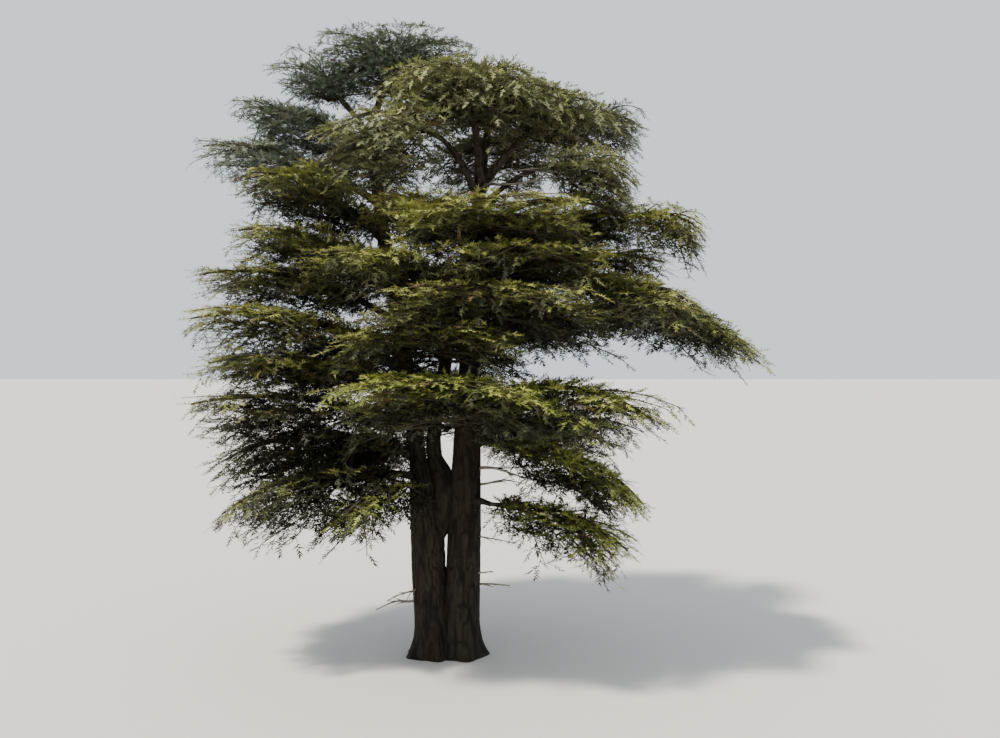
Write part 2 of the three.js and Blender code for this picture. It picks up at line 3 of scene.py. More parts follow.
import bpy
import numpy as np
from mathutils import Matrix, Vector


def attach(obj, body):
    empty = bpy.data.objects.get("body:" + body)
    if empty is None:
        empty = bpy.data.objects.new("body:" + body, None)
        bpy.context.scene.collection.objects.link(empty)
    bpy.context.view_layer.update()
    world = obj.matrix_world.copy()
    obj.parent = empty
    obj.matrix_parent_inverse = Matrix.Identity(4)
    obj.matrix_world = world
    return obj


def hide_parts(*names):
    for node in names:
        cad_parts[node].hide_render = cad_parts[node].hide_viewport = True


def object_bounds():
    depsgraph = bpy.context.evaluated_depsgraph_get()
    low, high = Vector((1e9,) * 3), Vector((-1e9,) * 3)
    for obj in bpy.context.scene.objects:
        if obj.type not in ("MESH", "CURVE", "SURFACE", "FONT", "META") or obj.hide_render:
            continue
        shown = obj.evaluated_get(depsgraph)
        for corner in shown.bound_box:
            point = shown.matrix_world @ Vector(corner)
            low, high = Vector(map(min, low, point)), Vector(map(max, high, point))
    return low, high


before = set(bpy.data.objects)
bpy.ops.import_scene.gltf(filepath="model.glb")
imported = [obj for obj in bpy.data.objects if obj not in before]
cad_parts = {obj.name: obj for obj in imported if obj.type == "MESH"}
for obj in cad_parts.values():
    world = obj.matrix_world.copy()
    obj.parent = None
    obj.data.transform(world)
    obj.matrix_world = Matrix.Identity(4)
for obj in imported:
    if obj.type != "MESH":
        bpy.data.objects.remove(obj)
cad_low, cad_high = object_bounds()


# The camera stands ten metres up and 34 metres in front of the butt, a little to its right, and
# looks level. So it sees the tops of the lower tiers and the undersides of the upper ones.
camera_data = bpy.data.cameras.new("camera")
camera_data.sensor_width = 36
camera_data.lens = 34.56
camera_data.clip_end = 3000
camera = bpy.data.objects.new("camera", camera_data)
camera.location = (1.86, -33.7, 10.0)
camera.rotation_euler = (math.pi / 2, 0, 0)
bpy.context.scene.collection.objects.link(camera)
bpy.context.scene.camera = camera


# The butt: the broad foot of the tree, where two upright stems have grown together up to the fork.
# It is living wood under thick dark bark, painted darker still for the crown's shade, with long
# upright furrows. A root collar spreads at the ground, and five low limbs that broke off long ago
# are left as dead stubs.
STEM_WAYS = {
    # x, y and z of the middle of the stem and its radius, all in metres
    "left": [
        [-0.5, 0, -0.1, 0.66],
        [-0.51, 0, 1, 0.62],
        [-0.63, 0, 2.8, 0.61],
        [-0.7, 0.02, 4.3, 0.59],
        [-0.86, 0.06, 5.7, 0.47],
        [-1.04, 0.14, 6.9, 0.31],
        [-1.42, 0.55, 9.6, 0.29],
        [-2.3, 1.5, 14.2, 0.26],
        [-3.05, 2.3, 19.2, 0.2],
    ],
    "right": [
        [0.48, 0, -0.1, 0.67],
        [0.49, 0, 1, 0.63],
        [0.56, 0, 2.8, 0.61],
        [0.61, -0.02, 4.3, 0.59],
        [0.7, -0.1, 7.2, 0.49],
        [0.86, -0.2, 11, 0.36],
        [1.05, -0.32, 14.8, 0.25],
        [1.17, -0.4, 16.6, 0.2],
    ],
    "middle": [
        [-0.5, 0.02, 4, 0.34],
        [-0.2, 0.04, 4.7, 0.4],
        [-0.13, 0.06, 5.5, 0.42],
        [-0.18, 0.1, 6.2, 0.41],
        [-0.45, 0.2, 6.9, 0.28],
        [-0.47, 0.36, 7.8, 0.26],
        [-0.18, 0.9, 9.8, 0.24],
        [0.45, 2, 13.6, 0.2],
        [1.2, 2.9, 17.6, 0.16],
        [1.5, 3.2, 20.2, 0.12],
    ],
}
FORK_CUT = 3.3
RING_STEP = 0.06
STEM_SIDES = 96
STEM_BARK = {"depth": 0.034, "columns": 30, "cell": 0.62}
STEM_SEEDS = {"left": 11, "right": 12, "middle": 13}
UP = np.array([0, 0, 1.0])


def along_path(way, share):
    """Points and radii of a limb at shares of its way. The curve is a centripetal spline: between two
    way points a cubic, whose slope at each end is the mean of the chords there, weighed by the
    square root of their lengths. The radius runs straight between way points."""
    way = np.asarray(way, float)
    share = np.clip(np.asarray(share, float), 0, 1)
    knots = np.vstack([2 * way[0] - way[1], way, 2 * way[-1] - way[-2]])[:, :3]
    place = share * (len(way) - 1)
    span = np.minimum(place.astype(int), len(way) - 2)
    w = (place - span)[..., None]
    p0, p1, p2, p3 = (knots[span + i] for i in range(4))
    d0, d1, d2 = (
        np.sum((b - a) ** 2, axis=-1, keepdims=True) ** 0.25 for a, b in ((p0, p1), (p1, p2), (p2, p3))
    )
    leave = ((p1 - p0) / d0 - (p2 - p0) / (d0 + d1) + (p2 - p1) / d1) * d1
    arrive = ((p2 - p1) / d1 - (p3 - p1) / (d1 + d2) + (p3 - p2) / d2) * d1
    square = 3 * (p2 - p1) - 2 * leave - arrive
    cube = 2 * (p1 - p2) + leave + arrive
    radius = way[span, 3] * (1 - w[..., 0]) + way[span + 1, 3] * w[..., 0]
    return p1 + leave * w + square * w**2 + cube * w**3, radius


def share_at_height(way, height, samples=4001):
    """The share of an upright way at which it reaches a height, read back from many points of it."""
    shares = np.linspace(0, 1, samples)
    return np.interp(height, along_path(way, shares)[0][:, 2], shares)


def stem_shares(name, low, high):
    """Shares of a stem's way from one height to another, a ring step apart."""
    steps = int((high - low) / RING_STEP) + 1
    return share_at_height(STEM_WAYS[name], np.linspace(low, high, steps))


def unit(vectors):
    """Vectors divided by their own length."""
    return vectors / np.maximum(np.linalg.norm(vectors, axis=-1, keepdims=True), 1e-9)


def rings(points, radii, sides, toward):
    """Rings of points round paths: from each centre, out by its radius at even angles, in the plane
    square to the path, with angle 0 toward the given direction. Radii are by centre and angle."""
    tangent = unit(np.gradient(points, axis=-2))
    start = unit(toward - tangent * np.sum(tangent * toward, axis=-1, keepdims=True))
    side = np.cross(start, tangent)
    angle = np.linspace(0, 2 * np.pi, sides, endpoint=False)
    out = np.cos(angle)[:, None] * start[..., None, :] + np.sin(angle)[:, None] * side[..., None, :]
    return points[..., None, :] + out * radii[..., None]


def ring_faces(limbs, steps, sides):
    """Faces of tubes with this many rings and sides: four corners between each two rings and each
    two sides, and one face over each end. The tubes' points follow each other in the list."""
    limb, ring, side = np.meshgrid(np.arange(limbs), np.arange(steps - 1), np.arange(sides), indexing="ij")
    first = (limb * steps + ring) * sides
    after = (side + 1) % sides
    walls = np.stack([first + side, first + sides + side, first + sides + after, first + after], -1)
    ends = np.arange(limbs)[:, None] * steps * sides + np.arange(sides)[None]
    tops = ends[:, ::-1] + (steps - 1) * sides
    return [walls.reshape(-1, 4), ends, tops]


def make_piece(name, points, faces, materials, dealt=None, fields=None, facing=None):
    """A mesh object from its points and a list of face arrays, one array for each number of corners.
    dealt gives each face its material, and without it faces of four corners are shaded smooth.
    fields are values at the points that a material reads, and facing the normals at the points,
    where a piece has to be shaded as one with its neighbour."""
    mesh = bpy.data.meshes.new(name)
    points = np.ascontiguousarray(points, dtype=np.float32).reshape(-1, 3)
    corners = np.concatenate([face.ravel() for face in faces])
    counts = np.concatenate([np.full(len(face), face.shape[1]) for face in faces])
    mesh.vertices.add(len(points))
    mesh.vertices.foreach_set("co", points.ravel())
    mesh.loops.add(len(corners))
    mesh.loops.foreach_set("vertex_index", corners.astype(np.int32))
    mesh.polygons.add(len(counts))
    mesh.polygons.foreach_set("loop_start", (np.cumsum(counts) - counts).astype(np.int32))
    if dealt is None:
        mesh.polygons.foreach_set("use_smooth", counts == 4)
    else:
        mesh.polygons.foreach_set("material_index", dealt.astype(np.int32))
    for title, values in (fields or {}).items():
        kind, key = ("FLOAT_VECTOR", "vector") if values.shape[-1] == 3 else ("FLOAT", "value")
        layer = mesh.attributes.new(title, kind, "POINT")
        layer.data.foreach_set(key, values.astype(np.float32).ravel())
    for material in materials:
        mesh.materials.append(material)
    mesh.update(calc_edges=True)
    if facing is not None:
        mesh.normals_split_custom_set_from_vertices(facing.reshape(-1, 3).tolist())
    piece = bpy.data.objects.new(name, mesh)
    bpy.context.scene.collection.objects.link(piece)
    return piece


LATTICE_ROWS = 1024


def lattice_noise(across, along, columns, seed):
    """Smooth noise round a limb: a lattice of seeded heights that closes after so many columns,
    with the height between four of them eased by 3w^2 - 2w^3 both ways."""
    heights = np.random.default_rng(seed).random((columns, LATTICE_ROWS))
    column = np.floor(across).astype(int)
    row = np.floor(along).astype(int)
    w = across - column
    h = along - row
    w = w * w * (3 - 2 * w)
    h = h * h * (3 - 2 * h)
    left, right = column % columns, (column + 1) % columns
    low, high = row % LATTICE_ROWS, (row + 1) % LATTICE_ROWS
    under = heights[left, low] * (1 - w) + heights[right, low] * w
    over = heights[left, high] * (1 - w) + heights[right, high] * w
    return under * (1 - h) + over * h


DRIFT_COLUMNS = 3
DRIFT_CELLS = 3  # length of one bend of the furrows, in plates
DRIFT_REACH = 1.6  # how far they wander round the limb, in plates
FURROW_STEEP = 3.2
FURROW_ROUND = 0.7
CRACK_CELL = 0.4  # length between cracks, per plate
CRACK_STEEP = 3
CRACK_DEPTH = 0.4  # of the height of a plate


def bark_plates(angle, along, columns, cell, seed):
    """Height of the bark, from 0 in a furrow to 1 on a plate. The furrows follow the lines where a
    stretched noise passes its middle value, so they branch and close round long upright plates. A
    finer noise of the same kind cracks the plates across."""
    drift = lattice_noise(angle * DRIFT_COLUMNS, along / (DRIFT_CELLS * cell), DRIFT_COLUMNS, seed + 5)
    turn = angle * columns + DRIFT_REACH * (drift - 0.5)
    broad = np.abs(2 * lattice_noise(turn, along / cell, columns, seed) - 1)
    fine = np.abs(2 * lattice_noise(2 * turn, along / (CRACK_CELL * cell), 2 * columns, seed + 1) - 1)
    cracks = CRACK_DEPTH * np.clip(CRACK_STEEP * fine, 0, 1)
    return np.clip(FURROW_STEEP * broad, 0, 1) ** FURROW_ROUND * (1 - CRACK_DEPTH + cracks)


BARK_START = 40  # metres along the noise at which a limb's bark begins
GRAIN_BETWEEN = 7  # metres along the grain between two limbs' roots
GRAIN_SQUEEZE = 0.22


def barked_limb(way, shares, sides, toward, depth, columns, cell, seed, shape=None):
    """One limb under bark: rings along its way, pushed in by the depth of the furrows. shape
    multiplies the radius by a function of the centre's height, the angle and the length so far.
    Its grain is the unrolled bark: round the limb at the radius of its root, squeezed along it."""
    points, radii = along_path(way, shares)
    length = np.concatenate([[0], np.cumsum(np.linalg.norm(np.diff(points, axis=0), axis=1))])
    turn = np.linspace(0, 1, sides, endpoint=False)
    angle, along = np.meshgrid(turn, length)
    around = 2 * np.pi * angle
    bark = bark_plates(angle, along + BARK_START, columns, cell, seed)
    wide = np.repeat(radii[:, None], sides, 1)
    if shape is not None:
        wide = wide * shape(points[:, 2][:, None], around, along)
    skin = rings(points, wide - depth * (1 - bark), sides, np.asarray(toward, float))
    root = float(radii[0])
    grain_along = (along + GRAIN_BETWEEN * seed) * GRAIN_SQUEEZE
    grain = np.stack([np.cos(around) * root, np.sin(around) * root, grain_along], -1)
    return skin, bark, grain


def skin_normals(skin):
    """Normals of a limb's skin: the step along the limb crossed with the step round it."""
    around = np.roll(skin, -1, axis=1) - np.roll(skin, 1, axis=1)
    return unit(np.cross(np.gradient(skin, axis=0), around))


def bark_piece(name, limbs, bark, facing=None):
    """Several limbs as one piece under one bark: the faces of each are shifted by the number of
    points before it, and what would reach under the ground is set on it."""
    before = 0
    faces = []
    for skin, _, _ in limbs:
        faces += [face + before for face in ring_faces(1, *skin.shape[:2])]
        before += skin.shape[0] * skin.shape[1]
    points = np.concatenate([skin.reshape(-1, 3) for skin, _, _ in limbs])
    points[:, 2] = np.maximum(points[:, 2], 0)
    fields = {
        "plate_height": np.concatenate([height.reshape(-1, 1) for _, height, _ in limbs]),
        "grain": np.concatenate([grain.reshape(-1, 3) for _, _, grain in limbs]),
    }
    return make_piece(name, points, faces, [bark], fields=fields, facing=facing)


# How the colour of bark is mixed: places on the way from furrow to crest, 0 to 1.
FURROW_AT, PLATE_AT, WARM_AT, PALE_AT = 0.12, 0.55, 0.75, 0.95
TONE_BY_HEIGHT = 0.62
TONE_BY_STREAKS = 0.9
TONE_SHIFT = -0.27
STREAKS = {"scale": 7, "detail": 5}
PATCHES = {"scale": 1.3, "detail": 3}
FINE_GRAIN = {"scale": 38, "detail": 4}
WARM_PATCHES = {"From Min": 0.47, "From Max": 0.66, "To Max": 0.75}
BARK_ROUGHNESS = {"To Min": 0.78, "To Max": 0.98}
GRAIN_BUMP = {"Strength": 0.7, "Distance": 0.012}


def bark_material(name, furrow, plate, warm, pale):
    """Bark: furrow and plate colours by the height of the bark and a streaky noise along the limb,
    patches of a warmer and a paler colour, fine grain in the roughness and the bump."""
    material = bpy.data.materials.new(name)
    material.use_nodes = True
    nodes, links = material.node_tree.nodes, material.node_tree.links
    shader = nodes["Principled BSDF"]
    shader.inputs["Specular IOR Level"].default_value = 0.25
    grain = nodes.new("ShaderNodeAttribute")
    grain.attribute_name = "grain"
    height = nodes.new("ShaderNodeAttribute")
    height.attribute_name = "plate_height"

    def noise(scale, detail):
        made = nodes.new("ShaderNodeTexNoise")
        made.inputs["Scale"].default_value = scale
        made.inputs["Detail"].default_value = detail
        links.new(grain.outputs["Vector"], made.inputs["Vector"])
        return made.outputs["Fac"]

    def scaled(source, factor):
        made = nodes.new("ShaderNodeMath")
        made.operation = "MULTIPLY_ADD"
        made.inputs[1].default_value = factor
        links.new(source, made.inputs[0])
        return made

    def ramp(source, stops):
        made = nodes.new("ShaderNodeValToRGB")
        elements = made.color_ramp.elements
        for element, (position, colour) in ((elements[0], stops[0]), (elements[1], stops[-1])):
            element.position = position
            element.color = (*colour, 1)
        for position, colour in stops[1:-1]:
            elements.new(position).color = (*colour, 1)
        links.new(source, made.inputs["Fac"])
        return made.outputs["Color"]

    def ranged(source, ends):
        made = nodes.new("ShaderNodeMapRange")
        for socket, value in ends.items():
            made.inputs[socket].default_value = value
        links.new(source, made.inputs["Value"])
        return made.outputs["Result"]

    streaks = scaled(noise(**STREAKS), TONE_BY_STREAKS)
    streaks.inputs[2].default_value = TONE_SHIFT
    tone = scaled(height.outputs["Fac"], TONE_BY_HEIGHT)
    links.new(streaks.outputs[0], tone.inputs[2])
    stops = [(FURROW_AT, furrow), (PLATE_AT, plate), (PALE_AT, pale)]
    mixed = nodes.new("ShaderNodeMix")
    mixed.data_type = "RGBA"
    links.new(ranged(noise(**PATCHES), WARM_PATCHES), mixed.inputs["Factor"])
    links.new(ramp(tone.outputs[0], stops), mixed.inputs["A"])
    links.new(ramp(tone.outputs[0], [(FURROW_AT, furrow), (WARM_AT, warm)]), mixed.inputs["B"])
    links.new(mixed.outputs["Result"], shader.inputs["Base Color"])

    fine = noise(**FINE_GRAIN)
    links.new(ranged(fine, BARK_ROUGHNESS), shader.inputs["Roughness"])
    bump = nodes.new("ShaderNodeBump")
    for socket, value in GRAIN_BUMP.items():
        bump.inputs[socket].default_value = value
    links.new(fine, bump.inputs["Height"])
    links.new(bump.outputs["Normal"], shader.inputs["Normal"])
    return material


FLARE = 0.42  # share of the radius that the root collar adds at the ground
FLARE_HEIGHT = 0.45
FLARE_LOBES = 5
LOBE_DEPTH = 0.3
RIBS = 9
RIB_DEPTH = 0.035
RIB_HEIGHT = 1.6
RIB_TURN = 0.8
BROKEN_END = 0.45  # share of the radius that a stem loses at its broken end
BROKEN_LENGTH = 0.22


def root_collar(height, angle):
    """The swelling of the foot: it dies away upward, with five lobes and finer ribs between them."""
    down = np.exp(-np.maximum(height, 0) / FLARE_HEIGHT)
    ribs = RIB_DEPTH * np.exp(-np.maximum(height, 0) / RIB_HEIGHT) * np.cos(RIBS * angle + RIB_TURN)
    return 1 + FLARE * down * (1 + LOBE_DEPTH * np.cos(FLARE_LOBES * angle)) + ribs


def stem_taper(along):
    """A stem keeps the radius of its way, and narrows over the last half metre to its broken end."""
    return 1 - BROKEN_END * np.exp(-(along.max() - along) / BROKEN_LENGTH)


def limb_way(stem, height, heading, run, rise, arch, root, tip):
    """Way points of a limb that leaves a stem: level run along the heading, a straight rise, and an
    arch that is a half sine over the run."""
    start = along_path(STEM_WAYS[stem], share_at_height(STEM_WAYS[stem], height))[0]
    share = np.array([0, 1 / 3, 2 / 3, 1])
    turn = math.radians(heading)
    return np.stack([
        start[0] + math.cos(turn) * run * share,
        start[1] + math.sin(turn) * run * share,
        start[2] + rise * share + arch * np.sin(np.pi * share),
        root + (tip - root) * share,
    ], 1)


DEAD_RINGS = 14
DEAD_SIDES = 7
DEAD_BARK = {"columns": 3, "cell": 0.2}
DEAD_FURROWS = 0.12  # depth, per radius at the root
DEAD_WAVER = 0.05  # of the run
TWIG_FROM, TWIG_OVER = 0.3, 0.62  # shares of a dead branch: where its twigs begin, and over how much
TWIG_THICK = np.array([0.6, 0.45, 0.2])  # root, middle and tip, per radius of the branch


def dead_branch(way, twigs, seed):
    """A dead branch with its bare twigs: its way wavers, and the twigs leave it on alternate sides,
    lean forward, and get shorter toward its tip."""
    rng = np.random.default_rng(seed)
    run = np.linalg.norm(way[-1, :3] - way[0, :3])
    way = way.copy()
    way[1:, :3] += rng.uniform(-DEAD_WAVER, DEAD_WAVER, (len(way) - 1, 3)) * run
    ways = [way]
    for k in range(twigs):
        share = TWIG_FROM + TWIG_OVER * (k + rng.random()) / twigs
        (start, after), (radius, _) = along_path(way, [share, share + 0.02])
        ahead = unit(after - start)
        side = unit(np.cross(ahead, UP)) * (1 if k % 2 else -1)
        toward = unit(ahead + rng.uniform(0.4, 0.9) * side + rng.uniform(-0.5, 0.3) * UP)
        long = run * rng.uniform(0.2, 0.4) * (1.25 - share)
        middle = start + 0.5 * long * unit(toward + 0.3 * ahead)
        ways.append(np.column_stack([[start, middle, start + long * toward], TWIG_THICK * radius]))
    shares = np.linspace(0, 1, DEAD_RINGS)
    return [
        barked_limb(path, shares, DEAD_SIDES, UP, DEAD_FURROWS * path[0, 3], seed=seed + k, **DEAD_BARK)
        for k, path in enumerate(ways)
    ]


# The stems' bark: its own dark grey-brown, darkened much further as painted shade, the shade that the crown
# casts on the butt and the stems.
OLD_BARK_DARKENED_FOR_SHADE = bark_material(
    "old_bark_painted_shade", furrow=(0.0026, 0.0021, 0.0012), plate=(0.0118, 0.0094, 0.0052),
    warm=(0.019, 0.0116, 0.006), pale=(0.029, 0.025, 0.0158),
)
DEAD_WOOD = bark_material(
    "dead_wood", furrow=(0.07, 0.06, 0.048), plate=(0.22, 0.195, 0.16),
    warm=(0.21, 0.17, 0.13), pale=(0.42, 0.39, 0.34),
)
DEAD_STUBS = [
    # stem, height, heading, run, rise, arch, radius at the root and the tip
    ["left", 2.1, 200, 1.9, -0.35, 0, 0.06, 0.02],
    ["right", 2.35, 350, 1.7, 0.1, 0, 0.055, 0.02],
    ["right", 2.75, 328, 1.3, 0.3, 0, 0.045, 0.018],
    ["left", 2.55, 208, 1.7, -0.5, 0, 0.045, 0.015],
    ["right", 4.3, 335, 1.9, -0.3, 0, 0.04, 0.012],
]
STUB_TWIGS = 6

rings_below = len(stem_shares("left", 0, FORK_CUT))
whole_stems = {}
for name in ("left", "right"):
    top = STEM_WAYS[name][-1][2]
    shares = np.concatenate([stem_shares(name, 0, FORK_CUT), stem_shares(name, FORK_CUT, top)[1:]])
    whole_stems[name] = barked_limb(
        STEM_WAYS[name], shares, STEM_SIDES, (1, 0, 0), seed=STEM_SEEDS[name],
        shape=lambda height, angle, along: root_collar(height, angle) * stem_taper(along), **STEM_BARK,
    )
butt_limbs = [[part[:rings_below] for part in limb] for limb in whole_stems.values()]
butt_facing = np.stack([skin_normals(limb[0])[:rings_below] for limb in whole_stems.values()])
butt = bark_piece("butt", butt_limbs, OLD_BARK_DARKENED_FOR_SHADE, butt_facing)
stub_limbs = []
for k, row in enumerate(DEAD_STUBS):
    stub_limbs += dead_branch(limb_way(*row), STUB_TWIGS, 30 + 10 * k)
stubs = bark_piece("dead_stubs", stub_limbs, DEAD_WOOD)
for piece in (butt, stubs):
    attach(piece, "root")
    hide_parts("trunk")


# The upright stems: two from the fork and a thinner one that leaves the left stem higher up.
# Living wood under the same dark bark, which is closer furrowed on the thin one.
MIDDLE_SIDES = 48
MIDDLE_BARK = {"depth": 0.022, "columns": 15, "cell": 0.62}
middle_foot, middle_top = STEM_WAYS["middle"][0][2], STEM_WAYS["middle"][-1][2]
whole_stems["middle"] = barked_limb(
    STEM_WAYS["middle"], stem_shares("middle", middle_foot, middle_top), MIDDLE_SIDES, (1, 0, 0),
    seed=STEM_SEEDS["middle"], shape=lambda height, angle, along: stem_taper(along), **MIDDLE_BARK,
)
for name, limb in whole_stems.items():
    below = 0 if name == "middle" else rings_below - 1
    facing = skin_normals(limb[0])[below:]
    stem = bark_piece(name + "_stem_bark", [[part[below:] for part in limb]], OLD_BARK_DARKENED_FOR_SHADE, facing)
    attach(stem, "root")
    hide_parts(name + "_stem")


# The bare boughs: thick limbs that carry the plates of the crown and of the right side clear of
# the stems. Their bark is greyer and smoother than the stems', and each swells where it joins.
BOUGHS = [
    # name, stem, height, heading, run, rise, arch, radius at the root and the tip
    ["bough_top_left", "right", 15.9, 214, 2, 2.1, 0.45, 0.13, 0.08],
    ["bough_top_middle", "right", 16.45, 262, 1.5, 2.45, 0.3, 0.15, 0.09],
    ["bough_top_right", "right", 16, 10, 2.5, 2.85, 0.4, 0.13, 0.08],
    ["bough_right_upper", "right", 15.5, 352, 2.4, 1.5, 0.25, 0.11, 0.07],
    ["bough_right_bare", "right", 14.9, 340, 5.4, 0.15, 0.75, 0.12, 0.06],
    ["bough_right_middle", "right", 12.8, 330, 3.8, 0, 0.5, 0.14, 0.08],
    ["bough_right_long", "right", 11.7, 358, 3.4, 0.35, 0.3, 0.17, 0.11],
    ["bough_right_low", "right", 7.2, 344, 1.2, 0.15, 0.2, 0.13, 0.1],
    ["bough_right_lowest", "right", 5.3, 324, 1.1, 0.05, 0.1, 0.12, 0.09],
    ["bough_left_top", "left", 18.95, 12, 0.9, 2.5, 0.1, 0.16, 0.1],
    ["bough_left_second", "left", 18.6, 184, 1.6, 1.9, 0.15, 0.13, 0.08],
    ["bough_rear_right", "middle", 17.2, 8, 3, 2.3, 0.3, 0.11, 0.07],
]
BOUGH_RING_STEP = 0.05
BOUGH_SIDES = 20
BOUGH_BARK = {"depth": 0.011, "columns": 7, "cell": 0.3}
OLD_BARK_BELOW = 8  # a bough that leaves its stem lower than this has the stem's dark bark
COLLAR_MOST = 0.9
COLLAR_FADE = 0.2
UNEVEN = 0.07
# The limbs' bark: greyer than the stems', and darkened below its own colour as painted shade for the inside
# of the crown.
LIMB_BARK_DARKENED_FOR_SHADE = bark_material(
    "limb_bark_painted_shade", furrow=(0.005, 0.004, 0.0028), plate=(0.03, 0.0245, 0.0165),
    warm=(0.042, 0.027, 0.0165), pale=(0.085, 0.074, 0.056),
)


def bough_collar(stem_radius, root):
    """Swelling of a bough where it leaves its stem, greater on a thick stem: it fades over a hand's
    length from just inside the bark, with a slow unevenness further out."""
    swelling = min(0.35 * stem_radius / root - 0.2, COLLAR_MOST)

    def shape(height, angle, along):
        out = np.maximum(along - 0.85 * stem_radius, 0)
        uneven = UNEVEN * np.sin(5 * along + 1.3 * np.sin(angle))
        return 1 + swelling * np.exp(-out / COLLAR_FADE) + uneven
    return shape


bough_tips = {}
for k, (name, stem, height, heading, run, rise, arch, root, tip) in enumerate(BOUGHS):
    way = limb_way(stem, height, heading, run, rise, arch, root, tip)
    stem_radius = float(along_path(STEM_WAYS[stem], share_at_height(STEM_WAYS[stem], height))[1])
    limb = barked_limb(
        way, np.linspace(0, 1, int(run / BOUGH_RING_STEP)), BOUGH_SIDES, UP, seed=50 + k,
        shape=bough_collar(stem_radius, root), **BOUGH_BARK,
    )
    bough = bark_piece(name + "_bark", [limb], OLD_BARK_DARKENED_FOR_SHADE if height < OLD_BARK_BELOW else LIMB_BARK_DARKENED_FOR_SHADE)
    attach(bough, "root")
    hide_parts(name)
    before_tip, end = along_path(way, np.array([0.999, 1]))[0]
    bough_tips[name] = (end, unit(end - before_tip), tip)


# The dead limbs that are left among the living ones, right of the right stem: bare, bleached and
# brittle, with short twigs, as thick as an arm where they leave the stem.
DEAD_LIMBS = [
    # stem, height, heading, run, rise, arch, radius at the root and the tip
    ["right", 16.4, 334, 4.4, -0.5, 0.35, 0.05, 0.01],
    ["right", 16.2, 318, 2.9, 0.3, 0.2, 0.042, 0.01],
    ["right", 15.9, 341, 5, -0.7, 0.45, 0.05, 0.01],
    ["right", 14.3, 328, 4.8, -1.3, 0.3, 0.055, 0.012],
    ["right", 6.5, 340, 2.6, -0.35, 0.12, 0.075, 0.012],
    ["right", 5.9, 352, 2.1, 0.1, 0.1, 0.06, 0.012],
]
DEAD_TWIGS = 9
dead_limbs = []
for k, row in enumerate(DEAD_LIMBS):
    dead_limbs += dead_branch(limb_way(*row), DEAD_TWIGS, 200 + 20 * k)
dead = bark_piece("dead_limbs", dead_limbs, DEAD_WOOD)
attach(dead, "root")
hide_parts("right_stem")


# The crown of the left stem, at the back and the top: flat plates of grey-green needles, each on
# a limb that forks into side boughs, branchlets and short sprays, and wide open underneath.
SPACE_BEYOND = 0.025  # how far a spray may reach past the solids, per side of their box
SPACE_SIDES = SPACE_BEYOND * (np.array(cad_high) - np.array(cad_low))
SPACE_LOW, SPACE_HIGH = np.array(cad_low) - SPACE_SIDES, np.array(cad_high) + SPACE_SIDES
SIDE_DROOP = 0.2
ROUND_LIFT = 0.3  # height of a round plate's sheet over its bough's tip
PLATE_COLUMNS = [
    # of every table of plates, where a last column says which are round
    "number", "mass", "tone", "on", "height", "heading", "reach", "half", "bare", "rise", "droop",
    "blades", "layers", "drop",
]
LAYERS, LAYER_DROP = 3, 0.4  # of a plate whose row doesn't say otherwise


def plate_of(row, spray):
    """A plate from its row of a table, with the length factor of its sprays. Its root is the tip of
    the bough it grows on, or the middle of its stem at its height."""
    plate = {"layers": LAYERS, "drop": LAYER_DROP, "spray": spray, "round": row[-1] == "round"}
    plate.update(zip(PLATE_COLUMNS, row))
    tip, stem = bough_tips.get(plate["on"]), STEM_WAYS.get(plate["on"])
    root = tip[0] if tip else along_path(stem, share_at_height(stem, plate["height"]))[0]
    turn = math.radians(plate["heading"])
    plate["tip"], plate["root"] = tip, root
    plate["origin"] = root + (ROUND_LIFT if plate["round"] else 0) * UP
    plate["along"] = np.array([math.cos(turn), math.sin(turn), 0])
    plate["across"] = np.array([-math.sin(turn), math.cos(turn), 0])
    return plate


def share_out(plate, u, v):
    """How far out a place on a plate is: along its heading, or from a round plate's middle."""
    if plate["round"]:
        return np.hypot(u / plate["reach"], v / plate["half"])
    return u / plate["reach"]


def on_sheet(plate, u, v, lift):
    """Points on a plate's curved sheet, from the distance along its heading, the distance across and
    the lift off it. The height is the rise times 1 - (1 - out) squared, less the droop times out
    cubed and less a fifth of the half width times the side distance squared."""
    out = np.maximum(share_out(plate, u, v), 0)
    held = np.minimum(out, 1)
    side = 0 if plate["round"] else SIDE_DROOP * plate["half"] * (v / plate["half"]) ** 2
    height = plate["rise"] * (1 - (1 - held) ** 2) - plate["droop"] * out**3 - side + lift
    level = u[..., None] * plate["along"] + v[..., None] * plate["across"]
    return plate["origin"] + level + height[..., None] * UP


def seeded(seed):
    """A repeatable row of numbers from 0 to 1: a counter that grows by a large odd step, its bits
    stirred by shifts and products that keep the lowest 32."""
    low = 0xFFFFFFFF
    state = (seed * 7919 + 13) & low

    def draw():
        nonlocal state
        state = (state + 0x6D2B79F5) & low
        stirred = ((state ^ (state >> 15)) * (1 | state)) & low
        stirred = ((stirred + (((stirred ^ (stirred >> 7)) * (61 | stirred)) & low)) & low) ^ stirred
        return (stirred ^ (stirred >> 14)) / 4294967296

    return draw


LAYER_PARTS = 0.25  # share of the reach over which a lower layer sinks to its depth
LAYER_SHORTER, LAYER_NARROWER = 0.06, 0.08
LAYER_TIPS = 0.75  # of its depth is left at the tips of a lower layer's side boughs
CORE_DRAWS = 7  # numbers that the rule of the solids draws first, for the edge of a plate
BARE_SHARE = 0.55  # of the bare length of the solids
ANGLE_AT_ROOT, ANGLE_AT_TIP, ANGLE_RANGE = 76, 34, 14
LIFT_MIDDLE, LIFT_RANGE = 0.58, 1.6
LEAST_WIDTH, WIDTH_RANGE = 0.85, 0.25
LEAST_LENGTH, LENGTH_RANGE = 0.86, 0.2
SECOND_LIFT, SECOND_WIDTH, SECOND_LENGTH = 0.6, 0.85, 0.86  # of the second set, per the first


